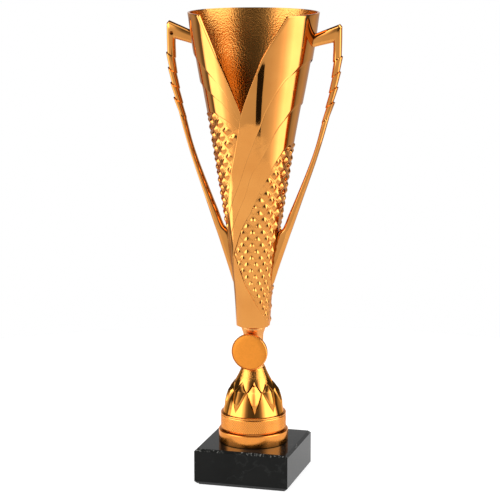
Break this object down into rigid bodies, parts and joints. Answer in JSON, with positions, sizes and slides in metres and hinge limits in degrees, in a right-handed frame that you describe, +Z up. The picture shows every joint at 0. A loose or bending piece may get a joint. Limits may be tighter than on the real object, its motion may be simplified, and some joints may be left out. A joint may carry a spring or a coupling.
{
  "type": "cup trophy",
  "caption": "Tall flared cup trophy with a cut-open front, overlapping leaves, angular handles, an emblem disc, a bell foot and a square marble base.",
  "frame": {"origin": "middle of the underside of the foam pad, on the surface the trophy stands on", "axes": "+Z up, -Y towards the front with the emblem and the cut-out, the handles along X"},
  "size_m": [0.1486, 0.0998, 0.3897],
  "materials": {
    "gold_plastic": "moulded plastic, vacuum metallised in bronze gold, polished",
    "emblem_face": "blank satin gold insert",
    "black_marble": "polished black marble with faint grey veins",
    "foam": "thin black self-adhesive foam",
    "zinc_steel": "zinc plated"
  },
  "bodies": {
    "root": {"foam_pad": "foam", "marble_base": "black_marble", "emblem_insert": "emblem_face", "foot_ring": "gold_plastic", "knurled_band": "gold_plastic", "foot_bell": "gold_plastic", "stem": "gold_plastic", "emblem_holder": "gold_plastic", "cup_shell": "gold_plastic", "handle_right": "gold_plastic", "handle_left": "gold_plastic", "base_washer": "zinc_steel", "base_nut": "zinc_steel", "tie_rod": "zinc_steel", "cup_washer": "zinc_steel", "cup_nut": "zinc_steel", "handle_clip_right": "zinc_steel", "handle_clip_left": "zinc_steel"}
  },
  "joints": []
}
